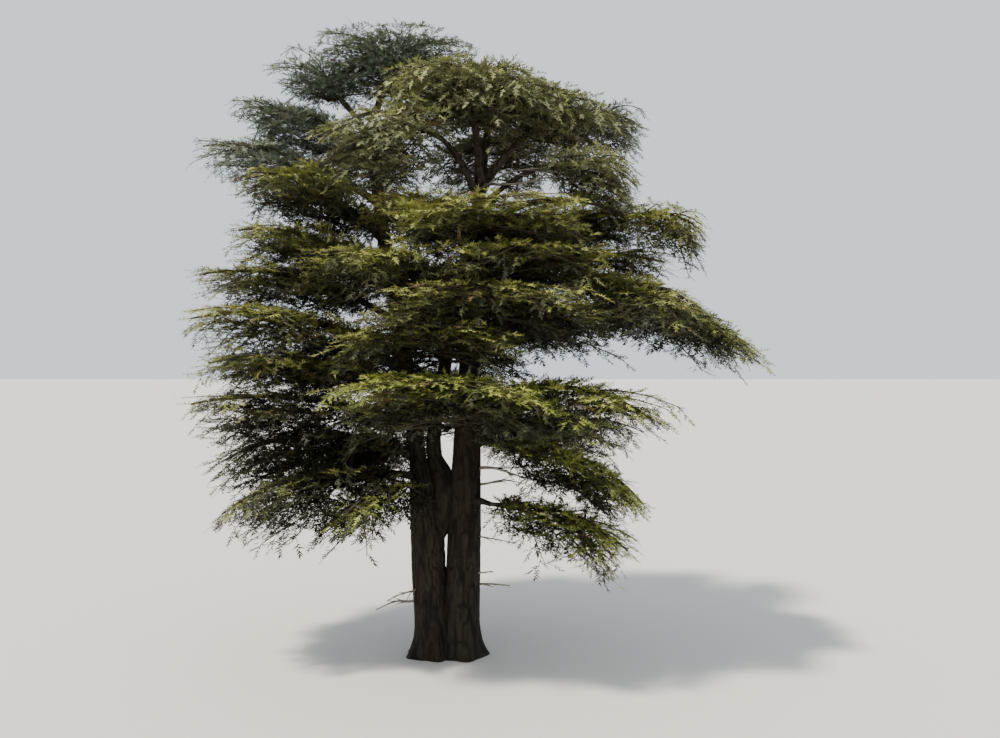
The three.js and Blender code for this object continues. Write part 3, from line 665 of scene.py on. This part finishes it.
def layer_lift(plate, layer, u):
    """How far a lower layer of a plate hangs under its sheet: its limb parts from the plate's own
    past the bare length and sinks over a quarter of the reach, eased by 3w^2 - 2w^3."""
    if plate["round"]:
        return -plate["drop"] * layer + 0 * u
    w = np.clip((u / plate["reach"] - plate["bare"]) / LAYER_PARTS, 0, 1)
    return -plate["drop"] * layer * w * w * (3 - 2 * w)


def side_boughs(plate, layer):
    """Root, tip and both lifts of a layer's side boughs, in metres on the plate's sheet. They leave
    its limb on alternate sides at 76 degrees near the root and 34 near the tip, and reach as far as
    the plate's outline, a sine to the power 0.7. A round plate's leave its middle at even turns. A
    second set of the same kind stands between them, so that both sides are filled."""
    draw = seeded(plate["number"] + 100 * layer)
    for _ in range(CORE_DRAWS):
        draw()
    bare, count = BARE_SHARE * plate["bare"], plate["blades"]
    reach = plate["reach"] * (1 - LAYER_SHORTER * layer)
    half = plate["half"] * (1 - LAYER_NARROWER * layer)
    rows = []
    for i in range(2 * count):
        second = i >= count
        k = i % count
        place, bend, size, lift, _ = (draw() for _ in range(5))
        raised = (lift - LIFT_MIDDLE) * LIFT_RANGE * (SECOND_LIFT if second else 1)
        if plate["round"]:
            turn = 2 * np.pi * (k + 0.5 * (place - 0.5) + 0.5 * second) / count
            long = (LEAST_LENGTH + LENGTH_RANGE * size) * (SECOND_LENGTH if second else 1)
            rows.append([0, 0, np.cos(turn) * reach * long, np.sin(turn) * half * long, 0, raised])
            continue
        share = (k + 0.5 * place) / (count + 0.4)
        side = 1 if k % 2 != second else -1
        angle = ANGLE_AT_ROOT + (ANGLE_AT_TIP - ANGLE_AT_ROOT) * share + ANGLE_RANGE * (bend - 0.5)
        start = reach * (bare + 0.04 + (0.9 - bare) * share)
        outline = half * math.sin(math.pi * (0.2 + 0.68 * share)) ** 0.7
        wide = outline * (LEAST_WIDTH + WIDTH_RANGE * size) * (SECOND_WIDTH if second else 1)
        end = min(start + wide / math.tan(math.radians(angle)), reach * 0.98)
        rows.append([start, 0, end, side * wide, 0, raised])
    if not plate["round"]:
        rows.append([reach * (bare + 0.06), 0, reach, 0, 0, 0])
    rows = np.array(rows, float)
    rows[:, 4] += layer_lift(plate, layer, rows[:, 0])
    rows[:, 5] += layer_lift(plate, layer, rows[:, 2]) * (LAYER_TIPS if layer else 1)
    return rows


def repeated(lengths, every):
    """How many shoots each parent gets at one every so many metres, as the parent's number, the
    share of its length and the order on it of each."""
    counts = np.maximum((lengths / every).astype(int), 1)
    parent = np.repeat(np.arange(len(lengths)), counts)
    order = np.arange(counts.sum()) - np.repeat(np.cumsum(counts) - counts, counts)
    return parent, (order + 0.5) / counts[parent], order


def bent(rows, share):
    """Place on a bent shoot at a share of its length: it leaves wide and turns forward, by a
    quadratic in u and v that ends at the tip, and its lift grows straight."""
    u0, v0, u1, v1, low, high = rows
    forward = 0.8 * share + 0.2 * share**2
    sideways = 1.2 * share - 0.2 * share**2
    return u0 + (u1 - u0) * forward, v0 + (v1 - v0) * sideways, low + (high - low) * share


BRANCHLET_EVERY = 0.22
BRANCHLET_SHARE = 0.36  # of the length of its side bough
BRANCHLET_SIZE, BRANCHLET_LONG = (0.7, 1.25), (0.16, 0.85)
BRANCHLET_ANGLE, BRANCHLET_CLOSER, BRANCHLET_STRAY = 62, 26, 9
HANGING_SHARE = 0.3
HANGING_LIFT, STANDING_LIFT = (-0.75, -0.25), (-0.1, 0.3)  # per length of the branchlet
SPRAY_EVERY = 0.125
SPRAY_FROM = 0.12  # share of a branchlet that is bare
SPRAY_LONG, SPRAY_ANGLE = (0.34, 0.5), (38, 66)
HANGING_RISE, STANDING_RISE = (-0.5, 0.1), (-0.1, 0.5)
RIM_LOWER, RIM_SHORTER = 0.3, 0.2
RIM_FROM, RIM_OVER = 0.55, 0.4  # how far out a plate's rim begins, and over how much it comes
PAST_REACH, PAST_HALF = 1.03, 1.06  # sprays further out on their plate than this are left out
BROWN_SHARE = 0.03


def grow_branchlets(bough_rows, bough_length, rng):
    """The branchlets of side boughs, as rows of the same kind, with their lengths and whether they
    hang. They leave on alternate sides, closer to the bough and shorter toward its tip."""
    parent, place, order = repeated(bough_length, BRANCHLET_EVERY)
    many = len(place)
    rows = [row[parent] for row in bough_rows]
    u0, v0, lift0 = bent(rows, place)
    u1, v1, _ = bent(rows, place + 0.02)
    run = np.hypot(u1 - u0, v1 - v0)
    ahead_u, ahead_v = (u1 - u0) / run, (v1 - v0) / run
    side = np.where(order % 2 == 0, 1, -1)
    stray = rng.uniform(-BRANCHLET_STRAY, BRANCHLET_STRAY, many)
    angle = np.radians(BRANCHLET_ANGLE - BRANCHLET_CLOSER * place + stray)
    long = BRANCHLET_SHARE * bough_length[parent] * (1.15 - 0.75 * place)
    long = np.clip(long * rng.uniform(*BRANCHLET_SIZE, many), *BRANCHLET_LONG)
    hanging = rng.random(many) < HANGING_SHARE
    lift = np.where(hanging, rng.uniform(*HANGING_LIFT, many), rng.uniform(*STANDING_LIFT, many)) * long
    u_end = u0 + long * (np.cos(angle) * ahead_u - np.sin(angle) * side * ahead_v)
    v_end = v0 + long * (np.cos(angle) * ahead_v + np.sin(angle) * side * ahead_u)
    return (u0, v0, u_end, v_end, lift0, lift0 + lift), long, hanging


def grow_sprays(plate, twig_rows, long, hanging, rng):
    """The sprays of branchlets: root, direction, size, light, and whether they are brown. They stand
    on alternate sides, the last one straight ahead. The light picks each spray's painted tint, from
    painted shade to painted sunlight: it grows with the lift and outward, and less comes to
    branchlets that hang."""
    shoot, along, order = repeated(long, SPRAY_EVERY)
    along = SPRAY_FROM + (1 - SPRAY_FROM) * along
    many = len(shoot)
    rows = [row[shoot] for row in twig_rows]
    base = bent(rows, along)
    root = on_sheet(plate, *base)
    ahead = unit(on_sheet(plate, *bent(rows, along + 0.05)) - root)
    level = unit(np.cross(UP, ahead))
    side = np.where(order % 2 == 0, 1, -1)
    last = np.append(shoot[1:] != shoot[:-1], True)
    angle = np.where(last, 0, np.radians(rng.uniform(*SPRAY_ANGLE, many))) * side
    under = hanging[shoot]
    out = share_out(plate, base[0], base[1])
    rim = np.clip((out - RIM_FROM) / RIM_OVER, 0, 1)
    sunk = rng.uniform(*HANGING_RISE, many)
    raised = np.where(under, sunk, rng.uniform(*STANDING_RISE, many) - RIM_LOWER * rim)
    toward = ahead * np.cos(angle)[:, None] + level * np.sin(angle)[:, None]
    toward = unit(toward + raised[:, None] * UP)
    size = rng.uniform(*SPRAY_LONG, many) * (1 - RIM_SHORTER * rim) * plate["spray"]
    reached = root + toward * size[:, None]
    inside = (out < PAST_REACH) & (np.abs(base[1]) < PAST_HALF * plate["half"])
    inside &= np.all((reached > SPACE_LOW) & (reached < SPACE_HIGH), axis=1)
    # painted light: higher and further out is lighter, hanging is darker, with a random spread by branchlet
    # and by spray
    light = 0.66 + 0.75 * np.clip(base[2], -0.8, 0.4) + 0.4 * (out - 0.6)
    light = light + 0.35 * (rng.random(len(long))[shoot] - 0.5)
    light = light + 0.3 * (rng.random(many) - 0.5) - 0.35 * under
    brown = (rng.random(len(long)) < BROWN_SHARE)[shoot]
    return [value[inside] for value in (root, toward, size, light, brown)]


BLADES = np.array([
    # place on the spray, turn in degrees, lift, length and width, all as shares of the spray
    [0.02, 62, 0.1, 0.34, 0.12],
    [0.1, -60, 0.1, 0.36, 0.12],
    [0.2, 56, 0.1, 0.38, 0.12],
    [0.3, -54, 0.12, 0.38, 0.12],
    [0.4, 50, 0.12, 0.36, 0.115],
    [0.5, -46, 0.12, 0.34, 0.115],
    [0.6, 40, 0.14, 0.32, 0.11],
    [0.68, -36, 0.14, 0.3, 0.11],
    [0.72, 0, 0.1, 0.34, 0.1],
])


def spray_points(root, toward, size, rng):
    """Corners of the needle bunches of sprays. Each bunch is a narrow triangle from its place on the
    spray's axis: half its width to both sides of its root, and its tip. The bunches turn off the
    axis on alternate sides and stand up a little from it, so that the spray is a flat feather."""
    roll = rng.uniform(-0.5, 0.5, (len(root), 1))
    level = unit(np.cross(UP, toward))
    up = np.cross(toward, level)
    side = level * np.cos(roll) + up * np.sin(roll)
    up = up * np.cos(roll) - level * np.sin(roll)
    offset, turn, lift, long, wide = BLADES.T
    each = (len(root), len(BLADES))
    turn = np.radians(turn)[None] + rng.uniform(-0.35, 0.35, each)
    lift = lift[None] + rng.uniform(-0.35, 0.35, each)
    long = long[None] * rng.uniform(0.6, 1.4, each)
    axis = toward[:, None] * np.cos(turn)[..., None] + side[:, None] * np.sin(turn)[..., None]
    axis = unit(axis + up[:, None] * lift[..., None])
    flank = unit(np.cross(up[:, None], axis))
    scale = size[:, None, None]
    start = root[:, None] + toward[:, None] * offset[None, :, None] * scale
    out = flank * (0.5 * wide)[None, :, None] * scale
    tip = start + axis * long[..., None] * scale
    return np.stack([start - out, tip, start + out], 2)


def plain_material(name, colour, rough, gloss):
    """A plain colour with its roughness and its gloss."""
    material = bpy.data.materials.new(name)
    material.use_nodes = True
    shader = material.node_tree.nodes["Principled BSDF"]
    shader.inputs["Base Color"].default_value = (*colour, 1)
    shader.inputs["Roughness"].default_value = rough
    shader.inputs["Specular IOR Level"].default_value = gloss
    return material


# Needle colours. The tones below use them as steps of painted shade and painted sunlight, darkest to
# lightest, so gold, straw and pale are sunlit needles and deep and slate shaded ones. Brown is the colour
# of dead needles.
NEEDLE_TINTS = {
    "deep": (0.024, 0.027, 0.012),
    "shade": (0.054, 0.061, 0.023),
    "olive": (0.113, 0.121, 0.038),
    "sunlit": (0.216, 0.23, 0.063),
    "gold": (0.352, 0.362, 0.1),
    "green": (0.11, 0.13, 0.025),
    "fresh": (0.232, 0.264, 0.052),
    "light": (0.38, 0.41, 0.09),
    "moss": (0.12, 0.13, 0.06),
    "haze": (0.214, 0.224, 0.108),
    "straw": (0.305, 0.322, 0.132),
    "slate": (0.116, 0.136, 0.103),
    "dull": (0.15, 0.173, 0.125),
    "grey": (0.18, 0.206, 0.14),
    "pale": (0.222, 0.246, 0.163),
    "brown": (0.15, 0.1, 0.045),
}
TONES = {
    # painted shade to painted light: a plate's tints, from those in the deepest shade to full light
    "olive": ["deep", "shade", "olive", "sunlit", "gold"],
    "fresh": ["deep", "shade", "green", "fresh", "light"],
    "dull": ["slate", "slate", "dull", "grey", "pale"],
    "crown": ["shade", "moss", "haze", "haze", "straw"],
    "rear": ["deep", "shade", "olive", "dull", "sunlit"],
    "far": ["shade", "moss", "dull", "haze", "grey"],
}
LIGHT_STEPS = [0.12, 0.36, 0.62, 0.9]  # light at which each next tint begins
TWIG_TINTS = {"dark": (0.022, 0.017, 0.011), "brown": (0.042, 0.031, 0.019), "grey": (0.07, 0.059, 0.041)}
# one material for each tint, so there are lit and shaded copies of the same needles
NEEDLES = {tint: plain_material("needles_" + tint, NEEDLE_TINTS[tint], 0.62, 0.25) for tint in NEEDLE_TINTS}
TWIGS = [plain_material("twig_" + tint, TWIG_TINTS[tint], 0.9, 0.2) for tint in TWIG_TINTS]
LIMB_RING_STEP = 0.14
LIMB_SIDES = 8
YOUNG_BARK = {"depth": 0.007, "columns": 4, "cell": 0.25}
SIDE_BOUGH_RADII = (0.03, 0.009)
BRANCHLET_RADII = (0.011, 0.004)


def plate_stem(plate):
    """Way points of a plate's own limb. It runs on from its bough's tip, or from inside its stem, at
    six shares of the sheet's middle line, and thins to three centimetres. A round plate's goes
    straight on up to the middle of its sheet."""
    tip, root, reach = plate["tip"], plate["root"], plate["reach"]
    share = np.array([0, 0.2, 0.45, 0.7, 0.9, 1])
    level = on_sheet(plate, reach * share, np.zeros(6), np.zeros(6))
    if plate["round"]:
        level = np.vstack([root[None], on_sheet(plate, np.zeros(1), np.zeros(1), np.full(1, 0.02))])
    if tip:
        level = np.vstack([(root - tip[1] * 0.2)[None], level])
    thick = tip[2] * 0.95 if tip else 0.05 + 0.011 * reach
    thin = thick * 0.7 if plate["round"] else 0.03
    return np.column_stack([level, np.linspace(thick, thin, len(level))])


def plate_limb(plate):
    """A plate's own limb under bark, a little uneven, with a collar where it leaves a stem."""
    def shape(height, angle, along):
        collar = 0 if plate["tip"] else 0.5 * np.exp(-np.maximum(along - 0.3, 0) / 0.2)
        return 1 + 0.06 * np.sin(6 * along + angle) + collar

    shares = np.linspace(0, 1, max(int(plate["reach"] / LIMB_RING_STEP), 8))
    seed = 100 + plate["number"]
    return barked_limb(plate_stem(plate), shares, LIMB_SIDES, UP, seed=seed, shape=shape, **YOUNG_BARK)


def shoot_tubes(plate_lines, radii, sides, tints):
    """Points, faces and tints of thin shoots: rings along their lines, whose radius runs from the
    first to the second, with one tint for the walls and ends of each."""
    lines = np.concatenate(plate_lines)
    many, steps = lines.shape[:2]
    skin = rings(lines, np.linspace(*radii, steps)[:, None], sides, UP)
    faces = ring_faces(many, steps, sides)
    tint = np.resize(tints, many)
    return skin.reshape(-1, 3), faces, [np.repeat(tint, len(face) // many) for face in faces]


def grow_region(region, painted_brightening, spray, rows):
    """One region of the crown: for each plate its limb, side boughs, branchlets and sprays, joined
    into one piece of bark, one of twigs and one of needles, which together stand for its masses."""
    limbs, bough_lines, twig_lines, bunches, needle_tints = [], [], [], [], []
    plates = [plate_of(row, spray) for row in rows]
    palette = sorted({tint for plate in plates for tint in TONES[plate["tone"]]} | {"brown"})
    for plate in plates:
        rng = np.random.default_rng(1000 + plate["number"])
        limbs.append(plate_limb(plate))
        tints = np.array([palette.index(tint) for tint in TONES[plate["tone"]]])
        for layer in range(plate["layers"]):
            boughs = side_boughs(plate, layer)
            bough_rows = tuple(boughs.T)
            bough_length = np.hypot(boughs[:, 2] - boughs[:, 0], boughs[:, 3] - boughs[:, 1])
            twig_rows, long, hanging = grow_branchlets(bough_rows, bough_length, rng)
            for lines, shoots, points in ((bough_lines, bough_rows, 5), (twig_lines, twig_rows, 2)):
                share = np.linspace(0, 1, points)[None]
                lines.append(on_sheet(plate, *bent([row[:, None] for row in shoots], share)))
            root, toward, size, light, brown = grow_sprays(plate, twig_rows, long, hanging, rng)
            bunches.append(spray_points(root, toward, size, rng))
            # painted light and shade: each spray's tint is its tone's step for its light, shifted for the
            # whole region by its painted brightening; dead brown needles show only where that light isn't
            # low
            level = np.digitize(light + painted_brightening, LIGHT_STEPS)
            needle_tints.append(np.where(brown & (level > 1), palette.index("brown"), tints[level]))
    limb_piece = bark_piece(region + "_limbs", limbs, LIMB_BARK_DARKENED_FOR_SHADE)
    points, faces, dealt = shoot_tubes(bough_lines, SIDE_BOUGH_RADII, 4, [1, 2])
    twig_points, twig_faces, twig_dealt = shoot_tubes(twig_lines, BRANCHLET_RADII, 3, [0, 1, 2])
    faces += [face + len(points) for face in twig_faces]
    points = np.concatenate([points, twig_points])
    twig_piece = make_piece(region + "_twigs", points, faces, TWIGS, np.concatenate(dealt + twig_dealt))

    points = np.concatenate(bunches).reshape(-1, 3)
    faces = [np.arange(len(points)).reshape(-1, 3)]
    dealt = np.repeat(np.concatenate(needle_tints), len(BLADES))
    materials = [NEEDLES[tint] for tint in palette]
    needle_piece = make_piece(region + "_needles", points, faces, materials, dealt)
    for piece, slot in ((limb_piece, "bark"), (twig_piece, "bark"), (needle_piece, "foliage")):
        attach(piece, "root")
        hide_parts(*("foliage_" + plate["mass"] for plate in plates))


grow_region("rear_crown", painted_brightening=0.28, spray=1.05, rows=[
    [1, "top", "dull", "bough_left_top", 0, 184, 3.1, 2.3, 0, 0.7, 0.6, 8, 4, 0.5, "round"],
    [2, "top_left", "dull", "bough_left_second", 0, 184, 2.3, 1.8, 0, 0.45, 0.3, 7, 3, 0.4, "round"],
    [3, "shoulder_left", "dull", "left", 18, 180, 5, 2, 0.14, 2, 0.3, 7, 4],
    [4, "shoulder_far_left", "dull", "left", 16.1, 184, 6.4, 2, 0.18, 2.3, 0.25, 7, 4],
    [5, "rear_top", "dull", "middle", 20, 10, 2.7, 2.3, 0, 0.8, 0.8, 8, 4, 0.4, "round"],
    [6, "rear_right", "far", "bough_rear_right", 0, 356, 3.1, 2, 0.02, 0.6, 0.8, 6, 4],
    [34, "rear_left_top", "far", "left", 17.6, 112, 4.6, 2.6, 0.12, 1.6, 0.5, 6, 4, 0.55],
    [35, "rear_upper", "far", "middle", 18.6, 84, 4.4, 2.9, 0.1, 1.1, 0.4, 7, 4, 0.62],
])


# The crown of the right stem, which stands in front: domed plates on the stem's own top boughs,
# golden in painted sunlight where the sun falls on them, and the first wide tiers under them.
grow_region("front_crown", painted_brightening=0.34, spray=1.05, rows=[
    [7, "front_crown", "crown", "bough_top_middle", 0, 182, 3.3, 2.7, 0, 0.95, 1.6, 9, 4, 0.4, "round"],
    [8, "front_arm", "crown", "bough_top_left", 0, 226, 3.2, 2.2, 0.02, 0.5, 0.7, 7, 4, 0.58],
    [9, "right_crown", "crown", "bough_top_right", 0, 6, 2.5, 2.3, 0, 0.6, 1.3, 8, 4, 0.4, "round"],
    [10, "right_crown_lower", "crown", "bough_right_upper", 0, 352, 3, 2, 0.02, 0.35, 1.1, 7, 4],
    [17, "front_left_upper", "olive", "right", 15, 206, 4, 2, 0.12, 0.9, 0.4, 7, 4],
    [18, "front_upper", "olive", "right", 14.1, 282, 4.8, 3.1, 0.12, 1.4, 0.3, 7],
    [21, "right_upper_tip", "olive", "bough_right_bare", 0, 352, 2.3, 1.8, 0.02, 0.15, 0.7, 6],
])


# The left tiers: long level limbs of the left stem, one above the other, with olive plates whose
# golden tints are painted sunlight.
# Each is living wood that grows out of its stem at its own height. One is the right stem's.
grow_region("left_tiers", painted_brightening=0.1, spray=1.15, rows=[
    [11, "left_gold", "olive", "left", 14.6, 216, 5.1, 2.2, 0.12, 2.4, 0.4, 7, 4],
    [12, "left_upper", "olive", "left", 13.1, 207, 5.5, 2.5, 0.1, 2, 0.4, 7],
    [13, "left_reach", "olive", "left", 11.7, 190, 6.9, 2.2, 0.18, 2.1, 0.5, 7],
    [14, "front_left", "olive", "right", 12.5, 220, 6, 2.4, 0.16, 1.4, 0.3, 7],
    [15, "left_middle", "olive", "left", 10.5, 196, 7.3, 2.4, 0.14, 1.8, 0.6, 7],
    [16, "left_lower", "olive", "left", 9.1, 186, 7, 2.5, 0.14, 1.7, 0.6, 7],
])


# The front tiers: plates that come straight out from the right stem toward the front, the lowest
# of them fresh green and seen from above.
grow_region("front_tiers", painted_brightening=0.03, spray=1.05, rows=[
    [44, "front_second", "olive", "right", 12.7, 291, 5.2, 2.9, 0.1, 1.35, 0.35, 7],
    [19, "front_middle", "olive", "right", 11.3, 277, 5.7, 3.6, 0.12, 1.4, 0.3, 8],
    [20, "front_lower", "olive", "right", 10.2, 254, 5.4, 3, 0.12, 1.35, 0.3, 7],
    [26, "front_low", "fresh", "right", 8.5, 262, 6.4, 3.4, 0.16, 1.35, 0.25, 8, 3, 0.6],
    [27, "front_right_low", "fresh", "right", 8.6, 322, 7.2, 2.6, 0.2, 1.3, 1.4, 7],
])


# The right tiers: plates that hang at their tips, two on limbs of their own from the middle and
# the right stem, and four at the ends of bare boughs.
grow_region("right_tiers", painted_brightening=0.04, spray=1.15, rows=[
    [22, "right_upper", "olive", "middle", 14, 346, 7, 2.5, 0.18, 1.9, 0.5, 7],
    [23, "right_middle", "olive", "right", 12.9, 6, 6.8, 2.2, 0.18, 1.5, 0.6, 7],
    [24, "right_front", "olive", "bough_right_middle", 0, 338, 4.2, 2.6, 0.02, 0.1, 1, 7],
    [25, "right_long", "olive", "bough_right_long", 0, 358, 6.3, 2.6, 0.02, 0.45, 1.9, 8],
    [32, "right_low", "fresh", "bough_right_low", 0, 350, 4.9, 2.2, 0.02, 0, 1.9, 7, 4],
    [33, "right_lowest", "fresh", "bough_right_lowest", 0, 340, 4.8, 2, 0.02, 0.1, 1.4, 7],
])


# The low left tiers: plates of the left stem in painted shade, tinted darker than the rest, that
# droop toward the ground, the last of them in front of the butt and fresher green.
grow_region("low_tiers", painted_brightening=-0.3, spray=1.2, rows=[
    [28, "left_low", "olive", "left", 7.9, 190, 7.6, 2.4, 0.12, 1.5, 0.6, 7, 4, 0.55],
    [29, "left_low_under", "olive", "left", 6.9, 178, 7, 2.2, 0.12, 1.2, 1.4, 7, 4, 0.55],
    [30, "left_lowest", "olive", "left", 6.2, 204, 6.8, 1.9, 0.16, 0.7, 1.6, 7, 4, 0.5],
    [31, "left_hanging", "fresh", "left", 5.9, 232, 4.1, 1.5, 0.18, 0.3, 1.3, 6],
])


# The rear tiers, away from the front: the same limbs and plates, in a duller green, in an upper
# and a lower group.
grow_region("rear_tiers", painted_brightening=0.05, spray=1.1, rows=[
    [36, "rear_right_upper", "rear", "middle", 14.9, 34, 5.4, 2.5, 0.14, 1.4, 0.6, 7],
    [37, "rear_left_middle", "rear", "left", 13.6, 122, 5.7, 2.9, 0.12, 1.3, 0.5, 7, 3, 0.7],
    [38, "rear_middle", "rear", "middle", 12.7, 80, 5.6, 3, 0.12, 1.3, 0.5, 7],
    [39, "rear_right_middle", "rear", "middle", 10.9, 38, 7, 2.8, 0.14, 1.4, 0.7, 7],
])
grow_region("rear_low_tiers", painted_brightening=0, spray=1.12, rows=[
    [40, "rear_left_low", "rear", "left", 10, 138, 6.6, 2.8, 0.14, 1.2, 0.6, 7, 3, 0.6],
    [41, "rear_low", "rear", "middle", 8.9, 92, 6.4, 3.1, 0.14, 1.2, 0.6, 7, 4, 0.72],
    [42, "rear_right_low", "rear", "right", 7.4, 44, 6.6, 2.7, 0.16, 1.1, 0.9, 7],
    [43, "rear_left_lowest", "rear", "left", 6.7, 130, 5.8, 2.4, 0.26, 0.9, 1, 6],
])


# The floor: a plain pale sheet under the tree and far wider than it. It stands for the ground and
# is no part of the tree.
floor_mesh = bpy.data.meshes.new("floor")
floor_mesh.from_pydata([(-900, -900, 0), (900, -900, 0), (900, 900, 0), (-900, 900, 0)], [], [(0, 1, 2, 3)])
floor_mesh.materials.append(plain_material("floor_pale", (0.6, 0.59, 0.56), rough=0.95, gloss=0.5))
floor = bpy.data.objects.new("floor", floor_mesh)
bpy.context.scene.collection.objects.link(floor)


# The light: one broad lamp high on the left in front, and a plain pale sky that fills the shade.
lamp_data = bpy.data.lights.new("key", "SUN")
lamp_data.energy = 5.5
lamp_data.angle = math.radians(6)
lamp_data.color = (1, 0.95, 0.86)
lamp = bpy.data.objects.new("key", lamp_data)
lamp.rotation_euler = (math.radians(28), 0, math.radians(-52))
bpy.context.scene.collection.objects.link(lamp)
sky = bpy.data.worlds.new("sky")
sky.use_nodes = True
sky.node_tree.nodes["Background"].inputs["Color"].default_value = (0.88, 0.93, 1, 1)
sky.node_tree.nodes["Background"].inputs["Strength"].default_value = 1.15
bpy.context.scene.world = sky

bpy.context.view_layer.update()
